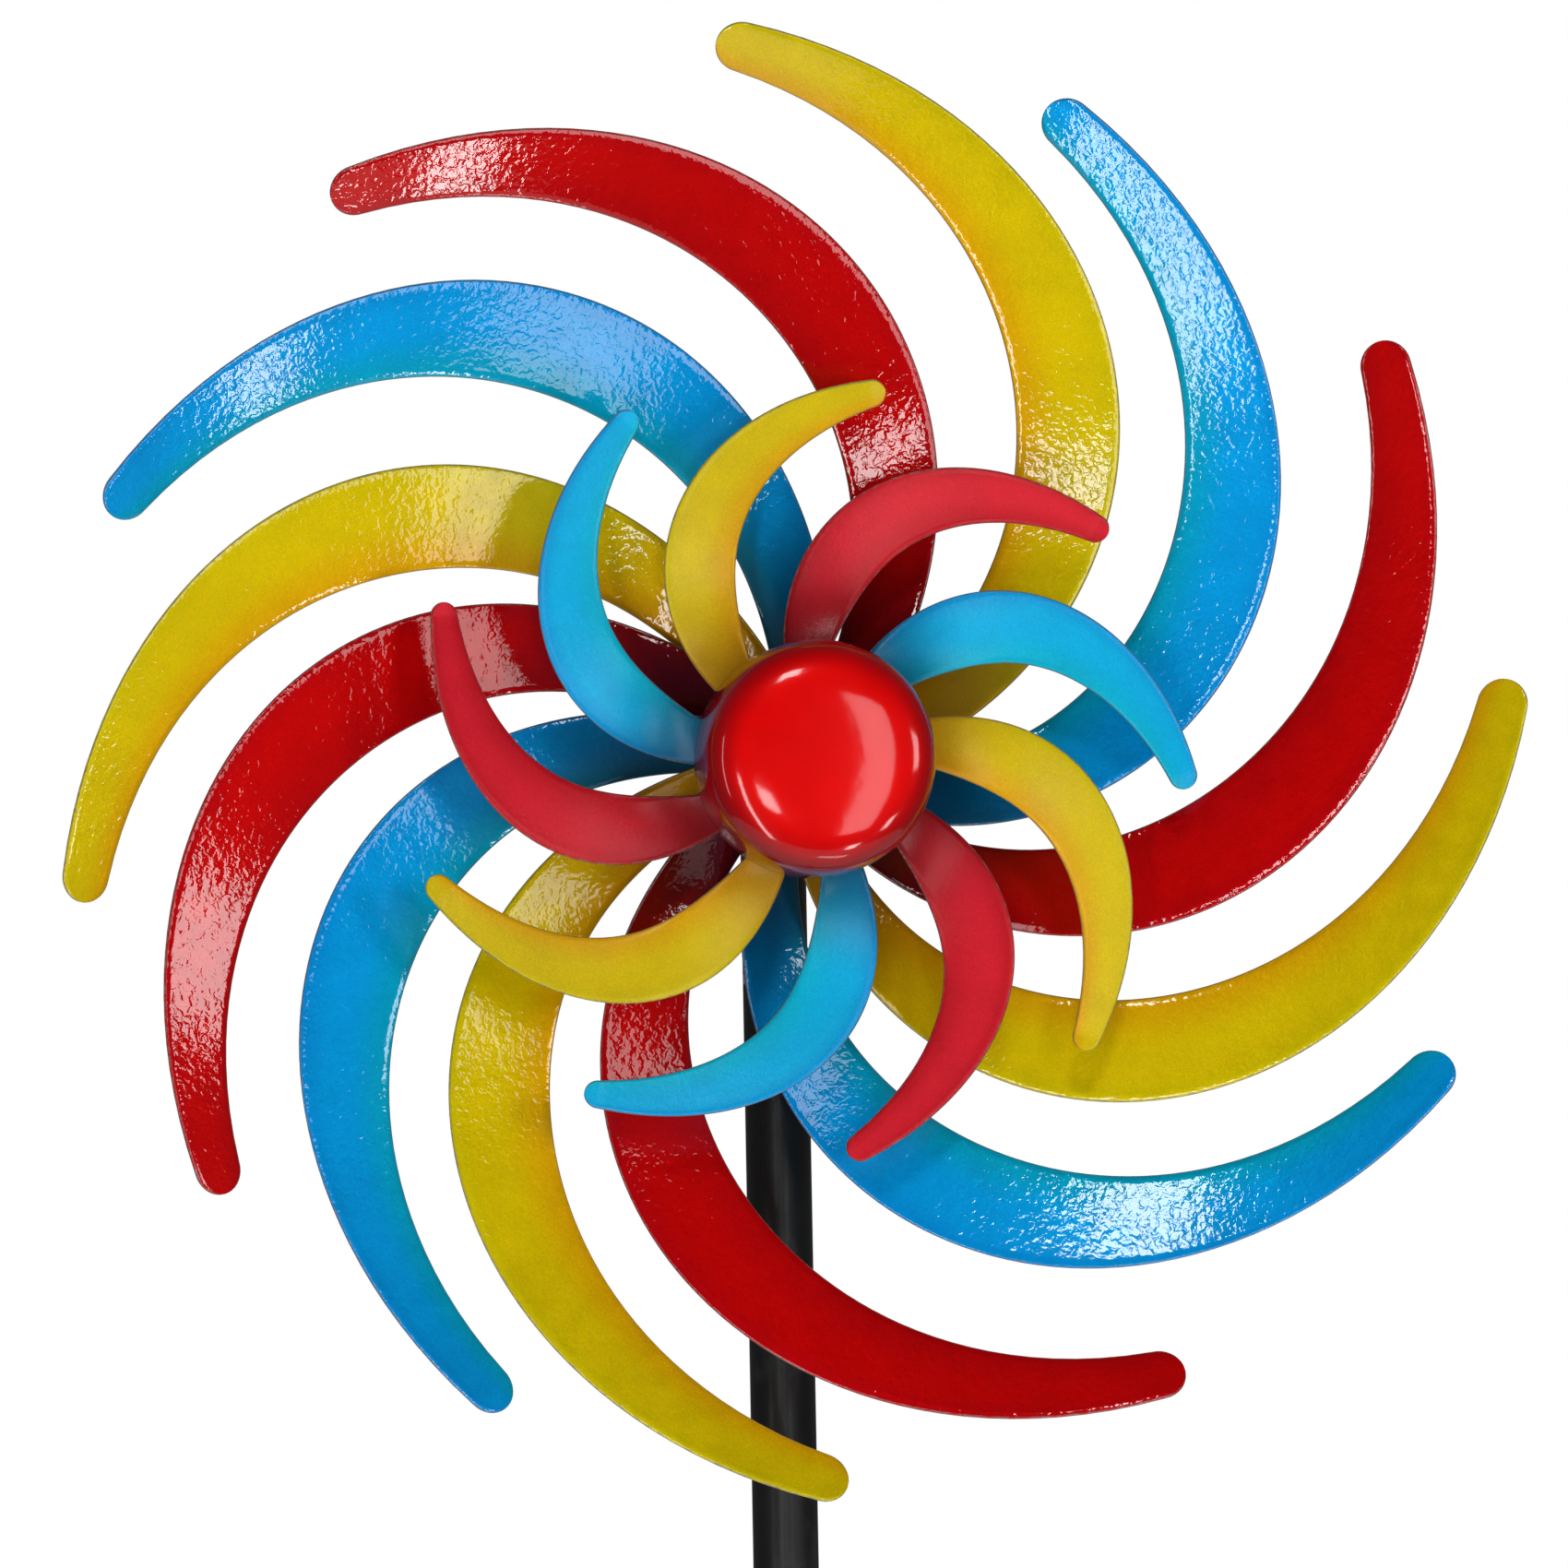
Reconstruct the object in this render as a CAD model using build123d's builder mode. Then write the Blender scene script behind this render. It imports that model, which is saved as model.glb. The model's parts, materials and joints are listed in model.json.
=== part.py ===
from build123d import *

import os
from math import asin, comb, cos, degrees, hypot, radians, sin

os.makedirs("parts", exist_ok=True)

# A garden wind sculpture: two rotors of curved steel blades that spin opposite ways, one behind the
# other, on a fixed axle. The axle crosses a short post that swivels on top of a three-piece pole, and
# the pole stands in a fork that is pushed into the ground.
# +Z is up, and the sculpture faces -Y. The origin is on the pole's axis at the soil line.

# ---- Driving dimensions, in millimetres and degrees ----

HUB_HEIGHT = 1000.0  # rotor axle above the soil line
POLE_DIAMETER = 19.0
POLE_WALL = 1.2
SWIVEL_DROP = 58.0  # swivel joint below the axle
SHEET = 1.2  # thickness of every blade

REAR_PLANE = -42.0  # where the rear blades' roots lie along the axle
FRONT_PLANE = -66.0
HUB_LENGTH = 18.0
HUB_RADIUS = 22.0
HUB_CHAMFER = 0.5
HUB_SHOULDER = 2.0  # ring inside each hub that keeps its two bearings apart
HUB_SHOULDER_RADIUS = 9.5

# A 608 ball bearing
BEARING_BORE = 8.0
BEARING_DIAMETER = 22.0
BEARING_WIDTH = 7.0
BALL_RADIUS = 1.984
BALL_CIRCLE = 7.6
BALL_COUNT = 7
RACE_GAP = 0.05
INNER_RING_RADIUS = 6.0
OUTER_RING_BORE = 9.2
SHIELD_THICKNESS = 0.3
SHIELD_INSET = 0.2
SHIELD_CLEARANCE = 0.3  # round the inner ring

CAP_RADIUS = 33.5
CAP_DEPTH = 28.0
CAP_RIM = -75.0  # the cap's open edge along the axle
CAP_WALL = 1.2
CAP_SKIRT = 9.0  # straight part of the cap's side
# Bezier control values of the dome, from the middle of its face to the skirt, as shares of the dome's
# depth and of the cap's radius
CAP_RISE = [1.0, 1.0, 0.96, 0.7, 0.0]
CAP_SPREAD = [0.0, 0.7, 0.98, 1.0, 1.0]
CAP_PLATE = 1.5  # the plate sits inside the cap's rim, against the front hub
CAP_SCREW_CIRCLE = 16.5
CAP_SCREW_COUNT = 3
CAP_SCREW_RADIUS = 1.5
CAP_SCREW_CLEARANCE = 0.1
CAP_SCREW_LENGTH = 7.0
CAP_SCREW_HEAD_RADIUS = 3.0
CAP_SCREW_HEAD = 2.0
CAP_SCREW_CHAMFER = 0.6

AXLE_RADIUS = 4.0
AXLE_BACK = 22.0
AXLE_FRONT = -87.0
AXLE_CHAMFER = 0.6
NUT_ACROSS_FLATS = 13.0
NUT_CHAMFER = 0.8  # off each corner, across the nut
NUT_CHAMFER_DEPTH = 0.6  # and along it
ACORN_HEX = 6.5
ACORN_NECK = 2.0  # round part between the hexagon and the dome
ACORN_DOME_RADIUS = 6.0
ACORN_GAP = 0.5  # left between the axle's end and the dome
SADDLE_RADIUS = 8.0
SADDLE_REACH = 4.0  # saddle washer's thickness where the post is widest
SADDLE_WRAP = 4.4  # how far its ears come round the post
JAM_NUT = 5.0
SPACER_RADIUS = 5.9
WASHER = 1.6
LOCK_NUT = 8.0

PIVOT_RADIUS = 5.0
PIVOT_CLEARANCE = 0.05
PIVOT_CHAMFER = 0.6
PIVOT_FLANGE = 3.0
PIVOT_BELOW_AXLE = 12.0
PLUG_DEPTH = 24.0  # part of the pivot plug that is pressed into the pole
PLUG_LEAD = 1.0
CLIP_THICKNESS = 1.0
CLIP_GROOVE_RADIUS = 4.5
CLIP_RADIUS = 6.8
CLIP_GAP = 2.4
CLIP_CLEARANCE = 0.2  # above the upper bush
BUSH_FLANGE = 2.0
LOWER_BUSH_SLEEVE = 14.0
UPPER_BUSH = 12.0
UPPER_BUSH_DROP = 3.0  # below the pin's top
POST_ABOVE_AXLE = 14.0
END_CAP_HEIGHT = 4.0
END_CAP_DOME = 2.5
END_CAP_PLUG = 8.0

SOCKET_RADIUS = 12.0
SOCKET_BOTTOM = 6.0
SOCKET_TOP = 92.0
SOCKET_CLEARANCE = 0.1
SOCKET_CHAMFER = 0.8
POLE_FOOT = 14.0
PRONG_RADIUS = 4.0
PRONG_SPREAD = 45.0  # each prong from the pole's axis
PRONG_DEPTH = 190.0
PRONG_POINT = 22.0
PRONG_END_RADIUS = 0.6
FORK_CORNER = 14.0
CLAMP_HEIGHT = 62.0
CLAMP_RADIUS = 2.5
CLAMP_BOSS_RADIUS = 6.5
CLAMP_BOSS = 5.0  # out from the socket's wall
CLAMP_NECK = 11.0  # from the pole to the screw's head
CLAMP_HEAD_RADIUS = 8.0
CLAMP_HEAD = 7.0
CLAMP_CHAMFER = 1.0

COUPLER_LENGTH = 70.0
COUPLER_WALL = 1.5
RIVET_RADIUS = 1.6
RIVET_HEAD_RADIUS = 3.2
RIVET_HEAD = 1.0
RIVET_HEAD_CHAMFER = 0.6
RIVET_TAIL = 1.0  # past the coupler's inner wall
SLIP = 0.02  # gap between pieces that are pressed or slid together

# ---- Blades ----
# A blade is a ribbon of sheet. t runs along it from 0 at the hub to 1 at the tip, and each law of t
# below is a Bezier curve through its control values:
#   sweep  polar angle of the ribbon's middle, counted from the tip, anticlockwise seen from the front
#   half   half of the ribbon's width
#   pitch  turn of the ribbon about its own length
#   bend   distance behind the rotor's plane
# first_tip is the polar angle of the first blade's tip. Each blade is a little off, as bent by hand:
#   lean   extra turn of the whole blade
#   reach  extra radius at its tip
#   curl   extra sweep between its root and its tip

REAR_ROTOR = {
    "name": "rear",
    "plane": REAR_PLANE,
    "tip_radius": 205.0,
    "sweep": [-78.0, -67.5, -59.0, -44.0, -31.0, 0.0],
    "half": [8.8, 10.6, 12.0, 21.2, 13.3, 7.6],
    "pitch": [34.6, -11.4, 10.4, 28.0],
    "bend": [0.0, 23.0, -2.0, -15.0],
    "first_tip": 34.7,
    "lean": [-1.5, 1.5, -1.0, 2.5, 3.0, 3.5, -1.0, -2.5, -4.0, -5.0, -1.5, -0.5],
    "reach": [1.5, -4.5, 1.0, 1.5, 1.5, 1.5, -2.5, -6.5, -2.0, -2.5, -2.0, 0.5],
    "curl": [-1.5, 5.0, -1.0, -0.5, -1.5, -3.0, -1.5, 0.0, -1.5, 0.5, -0.5, 0.0],
    "stations": 13,
}
FRONT_ROTOR = {
    "name": "front",
    "plane": FRONT_PLANE,
    "tip_radius": 110.5,
    "sweep": [54.5, 50.0, 42.5, 40.0, 19.5, 0.0],
    "half": [4.4, 8.6, 11.7, 12.3, 8.6, 4.1],
    "pitch": [24.3, -1.3, -19.7, -11.3],
    "bend": [0.0, 12.6, -4.3, 7.2],
    "first_tip": 37.2,
    "lean": [0.5, 1.0, -0.5, 0.0, 1.0, 0.0, 0.5, -1.5, 0.5],
    "reach": [-1.5, -2.5, -1.5, 0.0, -0.5, 0.5, 0.0, 2.5, 0.0],
    "curl": [1.5, 0.5, -0.5, 1.5, 1.5, 0.0, -0.5, -2.5, 1.0],
    "stations": 10,
}
ROOT_OVERRUN = 0.03  # how far a blade is drawn inside its hub before it is cut to the hub's curve

# ---- Places that follow from them ----

POLE_RADIUS = POLE_DIAMETER / 2
POLE_BORE = POLE_RADIUS - POLE_WALL
INSERT_RADIUS = POLE_BORE - SLIP
SWIVEL_HEIGHT = HUB_HEIGHT - SWIVEL_DROP
POLE_TOP = SWIVEL_HEIGHT - PIVOT_FLANGE
SECTION_LENGTH = (POLE_TOP - POLE_FOOT) / 3
SEAMS = [POLE_FOOT + SECTION_LENGTH, POLE_FOOT + 2 * SECTION_LENGTH]
POST_FOOT = SWIVEL_HEIGHT + BUSH_FLANGE
POST_TOP = HUB_HEIGHT + POST_ABOVE_AXLE
PIVOT_TOP = HUB_HEIGHT - PIVOT_BELOW_AXLE
UPPER_BUSH_TOP = PIVOT_TOP - UPPER_BUSH_DROP
CLIP_HEIGHT = UPPER_BUSH_TOP + CLIP_CLEARANCE

HUB_INSET = (HUB_LENGTH - HUB_SHOULDER - 2 * BEARING_WIDTH) / 2
REAR_BEARINGS = [REAR_PLANE - HUB_LENGTH / 2 + HUB_INSET, REAR_PLANE + HUB_SHOULDER / 2]
FRONT_BEARINGS = [FRONT_PLANE - HUB_LENGTH / 2 + HUB_INSET, FRONT_PLANE + HUB_SHOULDER / 2]
REAR_STACK_BACK = REAR_BEARINGS[1] + BEARING_WIDTH
ACORN_FRONT = POLE_RADIUS + SADDLE_REACH
JAM_NUT_BACK = -POLE_RADIUS - SADDLE_REACH
JAM_NUT_FRONT = JAM_NUT_BACK - JAM_NUT
WASHER_FRONT = FRONT_BEARINGS[0] - WASHER
CAP_PLATE_FRONT = CAP_RIM - CAP_PLATE


def axle_plane(y):
    """A plane across the axle at y, with its X to the right and its normal to the back."""
    return Plane(origin=(0, y, HUB_HEIGHT), x_dir=(1, 0, 0), z_dir=(0, 1, 0))


# A plane through the axle: sketch X runs back along the axle, and sketch Y is the radius.
AXLE_SECTION = Plane(origin=(0, 0, HUB_HEIGHT), x_dir=(0, 1, 0), z_dir=(1, 0, 0))
AXLE = Axis((0, 0, HUB_HEIGHT), (0, 1, 0))


def save(part, name):
    """Label a finished piece and write it as a STEP file."""
    part.label = name
    export_step(part, f"parts/{name}.step")


def dome_arc(apex, outward, rim, rise, turn):
    """An arc centred on the part's axis, from the apex out to the rim; turn is 1 to the left, else -1."""
    radius = (rim**2 + rise**2) / (2 * rise)
    return JernArc(apex, outward, radius, turn * degrees(asin(min(1, rim / radius))))


def axle_tube(front, back, outer, inner):
    """A tube or washer on the axle, from y = front to y = back."""
    with BuildPart() as tube:
        with BuildSketch(axle_plane(front)):
            Circle(outer)
            Circle(inner, mode=Mode.SUBTRACT)
        extrude(amount=back - front)
    return tube.part


def hex_nut(front, back):
    """A chamfered hexagon nut on the axle."""
    corner = NUT_ACROSS_FLATS / 2 / cos(radians(30))
    with BuildPart() as nut:
        with BuildSketch(axle_plane(front)):
            RegularPolygon(NUT_ACROSS_FLATS / 2, 6, major_radius=False)
            Circle(AXLE_RADIUS, mode=Mode.SUBTRACT)
        extrude(amount=back - front)
        with BuildSketch(AXLE_SECTION):
            with BuildLine():
                Polyline(
                    (front, 0),
                    (front, corner - NUT_CHAMFER),
                    (front + NUT_CHAMFER_DEPTH, corner),
                    (back - NUT_CHAMFER_DEPTH, corner),
                    (back, corner - NUT_CHAMFER),
                    (back, 0),
                    close=True,
                )
            make_face()
        revolve(axis=AXLE, mode=Mode.INTERSECT)
    return nut.part


# ---- Ground fork ----


def fork_yoke():
    """A round rod bent into two prongs, each drawn out to a point."""
    straight_end = PRONG_POINT - PRONG_DEPTH
    with BuildPart() as yoke:
        with BuildLine(Plane.XZ):
            FilletPolyline(
                (-PRONG_SPREAD, straight_end),
                (-PRONG_SPREAD, SOCKET_BOTTOM),
                (PRONG_SPREAD, SOCKET_BOTTOM),
                (PRONG_SPREAD, straight_end),
                radius=FORK_CORNER,
            )
        with BuildSketch(Plane.XY.offset(straight_end)):
            with Locations((-PRONG_SPREAD, 0)):
                Circle(PRONG_RADIUS)
        sweep()
        with Locations((-PRONG_SPREAD, 0, -PRONG_DEPTH), (PRONG_SPREAD, 0, -PRONG_DEPTH)):
            Cone(
                PRONG_END_RADIUS,
                PRONG_RADIUS,
                PRONG_POINT,
                align=(Align.CENTER, Align.CENTER, Align.MIN),
            )
    return yoke.part


with BuildPart() as ground_fork_socket:
    with BuildSketch(Plane.XY.offset(SOCKET_BOTTOM)):
        Circle(SOCKET_RADIUS)
    extrude(amount=SOCKET_TOP - SOCKET_BOTTOM)
    with BuildSketch(Plane.YZ.offset(POLE_RADIUS)):
        with Locations((0, CLAMP_HEIGHT)):
            Circle(CLAMP_BOSS_RADIUS)
    extrude(amount=SOCKET_RADIUS - POLE_RADIUS + CLAMP_BOSS)
    with BuildSketch(Plane.XY.offset(POLE_FOOT)):
        Circle(POLE_RADIUS + SOCKET_CLEARANCE)
    extrude(amount=SOCKET_TOP - POLE_FOOT, mode=Mode.SUBTRACT)
    with BuildSketch(Plane.YZ):
        with Locations((0, CLAMP_HEIGHT)):
            Circle(CLAMP_RADIUS)
    extrude(amount=SOCKET_RADIUS + 2 * CLAMP_BOSS, mode=Mode.SUBTRACT)
    chamfer(ground_fork_socket.edges().group_by(Axis.Z)[-1], SOCKET_CHAMFER)
    with BuildSketch(Plane.YZ):
        with Locations((0, SOCKET_BOTTOM)):
            Circle(PRONG_RADIUS)
    extrude(amount=SOCKET_RADIUS + 1, both=True, mode=Mode.SUBTRACT)

with BuildPart() as fork_clamp_screw:
    with BuildSketch(Plane.YZ.offset(POLE_RADIUS)):
        with Locations((0, CLAMP_HEIGHT)):
            Circle(CLAMP_RADIUS - SLIP)
    extrude(amount=CLAMP_NECK)
    with BuildSketch(Plane.YZ.offset(POLE_RADIUS + CLAMP_NECK)):
        with Locations((0, CLAMP_HEIGHT)):
            Circle(CLAMP_HEAD_RADIUS)
    extrude(amount=CLAMP_HEAD)
    chamfer(fork_clamp_screw.edges().group_by(Axis.X)[-1], CLAMP_CHAMFER)

save(ground_fork_socket.part, "ground_fork_socket")
save(fork_yoke(), "ground_fork_yoke")
save(fork_clamp_screw.part, "fork_clamp_screw")

# ---- Pole ----


def rivet_hole_plane():
    """The plane that the rivets' holes are drawn on, with its normal to the back."""
    return Plane(origin=(0, 0, 0), x_dir=(-1, 0, 0), z_dir=(0, 1, 0))


def rivet_heights(seam):
    """The two rivets that hold a coupler, one each side of its seam."""
    return [seam - COUPLER_LENGTH / 4, seam + COUPLER_LENGTH / 4]


RIVETS = [height for seam in SEAMS for height in rivet_heights(seam)]


def drilled_tube(bottom, top, outer, inner):
    """A tube on the pole's axis with a hole in its back wall for each rivet that crosses it."""
    holes = [height for height in RIVETS if bottom < height < top]
    with BuildPart() as tube:
        with BuildSketch(Plane.XY.offset(bottom)):
            Circle(outer)
            Circle(inner, mode=Mode.SUBTRACT)
        extrude(amount=top - bottom)
        with BuildSketch(rivet_hole_plane()):
            with Locations(*[(0, height) for height in holes]):
                Circle(RIVET_RADIUS)
        extrude(amount=outer + 1, mode=Mode.SUBTRACT)
    return tube.part


for place, name in enumerate(["lower_pole", "middle_pole", "upper_pole"]):
    foot = POLE_FOOT + place * SECTION_LENGTH
    save(drilled_tube(foot, foot + SECTION_LENGTH, POLE_RADIUS, POLE_BORE), name)

for seam, name in zip(SEAMS, ["lower_coupler", "upper_coupler"]):
    low = seam - COUPLER_LENGTH / 2
    high = seam + COUPLER_LENGTH / 2
    save(drilled_tube(low, high, INSERT_RADIUS, INSERT_RADIUS - COUPLER_WALL), name)

with BuildPart() as coupler_rivets:
    tail = POLE_BORE - COUPLER_WALL - RIVET_TAIL
    with BuildSketch(rivet_hole_plane().offset(tail)):
        with Locations(*[(0, height) for height in RIVETS]):
            Circle(RIVET_RADIUS - SLIP)
    extrude(amount=POLE_RADIUS - tail)
    with BuildSketch(rivet_hole_plane().offset(POLE_RADIUS)):
        with Locations(*[(0, height) for height in RIVETS]):
            Circle(RIVET_HEAD_RADIUS)
    extrude(amount=RIVET_HEAD)
    chamfer(coupler_rivets.edges().group_by(Axis.Y)[-1], RIVET_HEAD_CHAMFER)
save(coupler_rivets.part, "coupler_rivets")

# ---- Swivel: a plug with a pin in the top of the pole ----

with BuildPart() as pivot_plug:
    with BuildSketch(Plane.XZ):
        with BuildLine():
            Polyline(
                (0, POLE_TOP - PLUG_DEPTH),
                (INSERT_RADIUS - PLUG_LEAD, POLE_TOP - PLUG_DEPTH),
                (INSERT_RADIUS, POLE_TOP - PLUG_DEPTH + PLUG_LEAD),
                (INSERT_RADIUS, POLE_TOP),
                (POLE_RADIUS, POLE_TOP),
                (POLE_RADIUS, SWIVEL_HEIGHT),
                (PIVOT_RADIUS, SWIVEL_HEIGHT),
                (PIVOT_RADIUS, CLIP_HEIGHT),
                (CLIP_GROOVE_RADIUS, CLIP_HEIGHT),
                (CLIP_GROOVE_RADIUS, CLIP_HEIGHT + CLIP_THICKNESS),
                (PIVOT_RADIUS, CLIP_HEIGHT + CLIP_THICKNESS),
                (PIVOT_RADIUS, PIVOT_TOP - PIVOT_CHAMFER),
                (PIVOT_RADIUS - PIVOT_CHAMFER, PIVOT_TOP),
                (0, PIVOT_TOP),
                close=True,
            )
        make_face()
    revolve(axis=Axis.Z)
save(pivot_plug.part, "pivot_plug")

with BuildPart() as pivot_clip:
    with BuildSketch(Plane.XY.offset(CLIP_HEIGHT)):
        Circle(CLIP_RADIUS)
        Circle(CLIP_GROOVE_RADIUS + SLIP, mode=Mode.SUBTRACT)
        with Locations((0, PIVOT_RADIUS)):
            Rectangle(CLIP_GAP, PIVOT_RADIUS, mode=Mode.SUBTRACT)
    extrude(amount=CLIP_THICKNESS)
save(pivot_clip.part, "pivot_clip")

# ---- Head: the post that turns on the pin, and the axle through it ----

with BuildPart() as swivel_post:
    with BuildSketch(Plane.XY.offset(POST_FOOT)):
        Circle(POLE_RADIUS)
        Circle(POLE_BORE, mode=Mode.SUBTRACT)
    extrude(amount=POST_TOP - POST_FOOT)
    with BuildSketch(axle_plane(0)):
        Circle(AXLE_RADIUS + SLIP)
    extrude(amount=POLE_DIAMETER, both=True, mode=Mode.SUBTRACT)
save(swivel_post.part, "swivel_post")

with BuildPart() as lower_swivel_bush:
    with BuildSketch(Plane.XY.offset(SWIVEL_HEIGHT)):
        Circle(POLE_RADIUS)
    extrude(amount=BUSH_FLANGE)
    with BuildSketch(Plane.XY.offset(POST_FOOT)):
        Circle(INSERT_RADIUS)
    extrude(amount=LOWER_BUSH_SLEEVE)
    with BuildSketch(Plane.XY.offset(SWIVEL_HEIGHT)):
        Circle(PIVOT_RADIUS + PIVOT_CLEARANCE)
    extrude(amount=BUSH_FLANGE + LOWER_BUSH_SLEEVE, mode=Mode.SUBTRACT)
save(lower_swivel_bush.part, "lower_swivel_bush")

with BuildPart() as upper_swivel_bush:
    with BuildSketch(Plane.XY.offset(UPPER_BUSH_TOP - UPPER_BUSH)):
        Circle(INSERT_RADIUS)
        Circle(PIVOT_RADIUS + PIVOT_CLEARANCE, mode=Mode.SUBTRACT)
    extrude(amount=UPPER_BUSH)
save(upper_swivel_bush.part, "upper_swivel_bush")

with BuildPart() as post_end_cap:
    with BuildSketch(Plane.XZ):
        with BuildLine():
            dome = dome_arc((0, POST_TOP + END_CAP_HEIGHT), (1, 0), POLE_RADIUS, END_CAP_DOME, -1)
            Polyline(
                dome @ 1,
                (POLE_RADIUS, POST_TOP),
                (INSERT_RADIUS, POST_TOP),
                (INSERT_RADIUS, POST_TOP - END_CAP_PLUG),
                (0, POST_TOP - END_CAP_PLUG),
                dome @ 0,
            )
        make_face()
    revolve(axis=Axis.Z)
save(post_end_cap.part, "post_end_cap")

with BuildPart() as axle:
    with BuildSketch(axle_plane(AXLE_FRONT)):
        Circle(AXLE_RADIUS - SLIP)
    extrude(amount=AXLE_BACK - AXLE_FRONT)
    chamfer(axle.edges().filter_by(GeomType.CIRCLE), AXLE_CHAMFER)
save(axle.part, "axle")


def saddle_washer(side):
    """A thick washer that is hollowed to sit against the post, on its back (side 1) or front (-1)."""
    with BuildPart() as washer:
        with BuildSketch(axle_plane(side * (POLE_RADIUS + SADDLE_REACH))):
            Circle(SADDLE_RADIUS)
            Circle(AXLE_RADIUS, mode=Mode.SUBTRACT)
        extrude(amount=-side * (SADDLE_REACH + SADDLE_WRAP))
        with BuildSketch(Plane.XY.offset(HUB_HEIGHT)):
            Circle(POLE_RADIUS + SLIP)
        extrude(amount=SADDLE_RADIUS + 1, both=True, mode=Mode.SUBTRACT)
    return washer.part


save(saddle_washer(1), "rear_saddle_washer")
save(saddle_washer(-1), "front_saddle_washer")

with BuildPart() as axle_acorn_nut:
    with BuildSketch(axle_plane(ACORN_FRONT)):
        RegularPolygon(NUT_ACROSS_FLATS / 2, 6, major_radius=False)
    extrude(amount=ACORN_HEX)
    with BuildSketch(AXLE_SECTION):
        with BuildLine():
            apex = ACORN_FRONT + ACORN_HEX + ACORN_NECK + ACORN_DOME_RADIUS
            dome = dome_arc((apex, 0), (0, 1), ACORN_DOME_RADIUS, ACORN_DOME_RADIUS, 1)
            Polyline(dome @ 1, (ACORN_FRONT, ACORN_DOME_RADIUS), (ACORN_FRONT, 0), dome @ 0)
        make_face()
    revolve(axis=AXLE)
    with BuildSketch(axle_plane(ACORN_FRONT)):
        Circle(AXLE_RADIUS)
    extrude(amount=AXLE_BACK - ACORN_FRONT + ACORN_GAP, mode=Mode.SUBTRACT)
save(axle_acorn_nut.part, "axle_acorn_nut")

save(hex_nut(JAM_NUT_FRONT, JAM_NUT_BACK), "axle_jam_nut")
save(axle_tube(REAR_STACK_BACK, JAM_NUT_FRONT, SPACER_RADIUS, AXLE_RADIUS), "rear_spacer")
save(
    axle_tube(FRONT_BEARINGS[1] + BEARING_WIDTH, REAR_BEARINGS[0], SPACER_RADIUS, AXLE_RADIUS),
    "hub_spacer",
)
save(axle_tube(WASHER_FRONT, FRONT_BEARINGS[0], SPACER_RADIUS, AXLE_RADIUS), "front_washer")
save(hex_nut(WASHER_FRONT - LOCK_NUT, WASHER_FRONT), "axle_lock_nut")

with BuildPart() as bearing_spacers:
    for plane in [REAR_PLANE, FRONT_PLANE]:
        with BuildSketch(axle_plane(plane - HUB_SHOULDER / 2)):
            Circle(SPACER_RADIUS)
            Circle(AXLE_RADIUS, mode=Mode.SUBTRACT)
        extrude(amount=HUB_SHOULDER)
save(bearing_spacers.part, "bearing_spacers")

# ---- Bearings ----


def race_rings(starts, inner, outer):
    """The inner or the outer rings of a hub's two bearings, each with its ball groove."""
    with BuildPart() as rings:
        for start in starts:
            with BuildSketch(AXLE_SECTION):
                with Locations((start + BEARING_WIDTH / 2, (inner + outer) / 2)):
                    Rectangle(BEARING_WIDTH, outer - inner)
                with Locations((start + BEARING_WIDTH / 2, BALL_CIRCLE)):
                    Circle(BALL_RADIUS + RACE_GAP, mode=Mode.SUBTRACT)
            revolve(axis=AXLE)
    return rings.part


def bearing_balls(starts):
    """The balls of a hub's two bearings."""
    with BuildPart() as balls:
        for start in starts:
            with Locations(axle_plane(start + BEARING_WIDTH / 2)):
                with PolarLocations(BALL_CIRCLE, BALL_COUNT):
                    Sphere(BALL_RADIUS)
    return balls.part


def bearing_shields(starts):
    """The thin steel rings that close both sides of a hub's two bearings."""
    with BuildPart() as shields:
        for start in starts:
            back = start + BEARING_WIDTH - SHIELD_INSET - SHIELD_THICKNESS
            for front in [start + SHIELD_INSET, back]:
                with BuildSketch(axle_plane(front)):
                    Circle(OUTER_RING_BORE - SLIP)
                    Circle(INNER_RING_RADIUS + SHIELD_CLEARANCE, mode=Mode.SUBTRACT)
                extrude(amount=SHIELD_THICKNESS)
    return shields.part


for name, starts in [("rear", REAR_BEARINGS), ("front", FRONT_BEARINGS)]:
    save(race_rings(starts, BEARING_BORE / 2, INNER_RING_RADIUS), f"{name}_bearing_inner_rings")
    save(
        race_rings(starts, OUTER_RING_BORE, BEARING_DIAMETER / 2 - SLIP),
        f"{name}_bearing_outer_rings",
    )
    save(bearing_balls(starts), f"{name}_bearing_balls")
    save(bearing_shields(starts), f"{name}_bearing_shields")

# ---- Rotors ----


def hub(plane, screw_holes):
    """A turned hub with a bearing seat from each side, and blind holes in its front if wanted."""
    front = plane - HUB_LENGTH / 2
    with BuildPart() as drum:
        with BuildSketch(axle_plane(front)):
            Circle(HUB_RADIUS)
            Circle(HUB_SHOULDER_RADIUS, mode=Mode.SUBTRACT)
        extrude(amount=HUB_LENGTH)
        chamfer(drum.edges().filter_by(GeomType.CIRCLE), HUB_CHAMFER)
        with BuildSketch(axle_plane(front), axle_plane(plane + HUB_SHOULDER / 2)):
            Circle(BEARING_DIAMETER / 2)
        extrude(amount=(HUB_LENGTH - HUB_SHOULDER) / 2, mode=Mode.SUBTRACT)
        if screw_holes:
            with BuildSketch(axle_plane(front)):
                with PolarLocations(CAP_SCREW_CIRCLE, CAP_SCREW_COUNT):
                    Circle(CAP_SCREW_RADIUS)
            extrude(amount=CAP_SCREW_LENGTH + 1, mode=Mode.SUBTRACT)
    return drum.part


def law(values, t):
    """A Bezier curve through control values, at t."""
    order = len(values) - 1
    return sum(
        comb(order, k) * value * t**k * (1 - t) ** (order - k) for k, value in enumerate(values)
    )


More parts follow.
